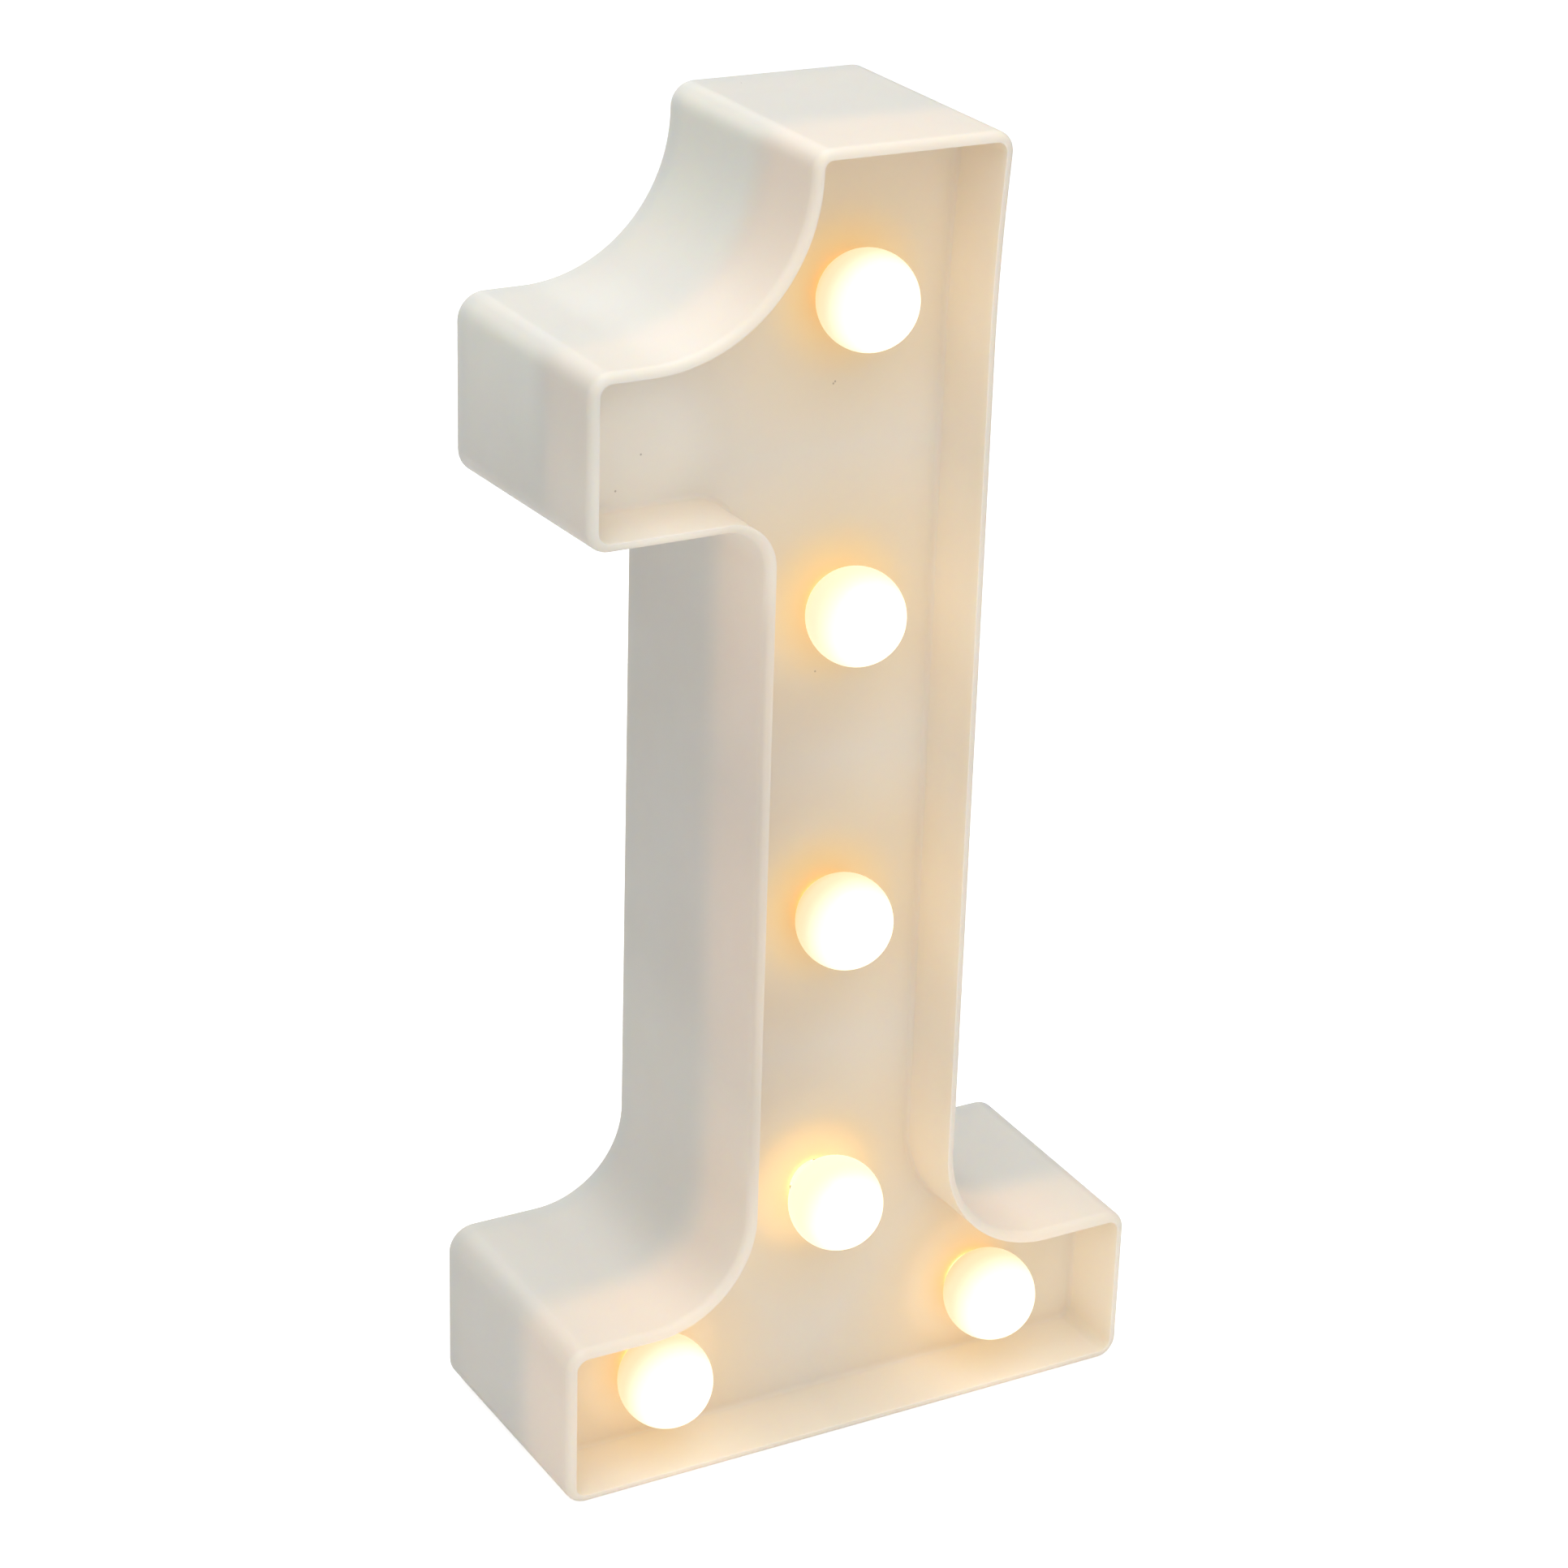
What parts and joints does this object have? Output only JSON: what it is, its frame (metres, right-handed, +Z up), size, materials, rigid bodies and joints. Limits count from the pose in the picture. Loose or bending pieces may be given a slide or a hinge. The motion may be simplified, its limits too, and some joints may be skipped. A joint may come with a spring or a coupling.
{
  "type": "light-up marquee number",
  "caption": "Free-standing marquee numeral one: a moulded white tray with warm globe lamps, and a back cover with battery door, slide switch and keyhole hanger.",
  "frame": {"origin": "centre of the footprint at the level of the sole that the number stands on", "axes": "+Z up along the stem, +Y from the open front to the back cover, +X to the right seen from the front"},
  "size_m": [0.1082, 0.0456, 0.2213],
  "materials": {
    "shell_plastic": "satin off-white moulded plastic, slightly translucent",
    "globe_plastic": "frosted warm white globe, lit from inside",
    "diode_resin": "tinted clear resin",
    "black_plastic": "fine satin",
    "zinc": "zinc plated",
    "plated_steel": "nickel plated spring steel",
    "brass": "tinned brass pins",
    "cell_sleeve": "plain printed film sleeve",
    "board_resin": "green solder mask",
    "resistor_body": "beige lacquer",
    "red_lead": "soft vinyl insulation",
    "black_lead": "soft vinyl insulation"
  },
  "bodies": {
    "housing": {"front_shell": "shell_plastic", "back_cover": "shell_plastic", "bulb_1": "globe_plastic", "bulb_2": "globe_plastic", "bulb_3": "globe_plastic", "bulb_4": "globe_plastic", "bulb_5": "globe_plastic", "bulb_6": "globe_plastic", "led_1": "diode_resin", "led_2": "diode_resin", "led_3": "diode_resin", "led_4": "diode_resin", "led_5": "diode_resin", "led_6": "diode_resin", "cover_screw_1": "zinc", "cover_screw_2": "zinc", "cover_screw_3": "zinc", "cover_screw_4": "zinc", "cover_screw_5": "zinc", "cover_screw_6": "zinc", "switch_body": "black_plastic", "switch_pin_1": "brass", "switch_pin_2": "brass", "switch_pin_3": "brass", "battery_1": "cell_sleeve", "battery_2": "cell_sleeve", "contact_bridge": "plated_steel", "contact_positive": "plated_steel", "contact_negative": "plated_steel", "spring_lower": "plated_steel", "spring_upper": "plated_steel", "circuit_board": "board_resin", "resistor": "resistor_body", "stem_lead_positive": "red_lead", "stem_lead_negative": "black_lead", "base_lead_positive": "red_lead", "base_lead_negative": "black_lead", "battery_lead_positive": "red_lead", "battery_lead_negative": "black_lead", "switch_lead": "red_lead", "feed_lead_positive": "red_lead", "feed_lead_negative": "black_lead"},
    "battery_door": {"battery_door": "shell_plastic"},
    "switch_slider": {"switch_slider": "black_plastic"}
  },
  "joints": [
    {"name": "door_hinge", "type": "hinge", "parent": "housing", "child": "battery_door", "pos_m": [-0.0015, 0.02193, 0.06729], "axis": [-1, 0, 0], "range_deg": [0, 80]},
    {"name": "switch_slide", "type": "slide", "parent": "housing", "child": "switch_slider", "axis": [1, 0, 0], "range_m": [-0.004, 0]}
  ]
}
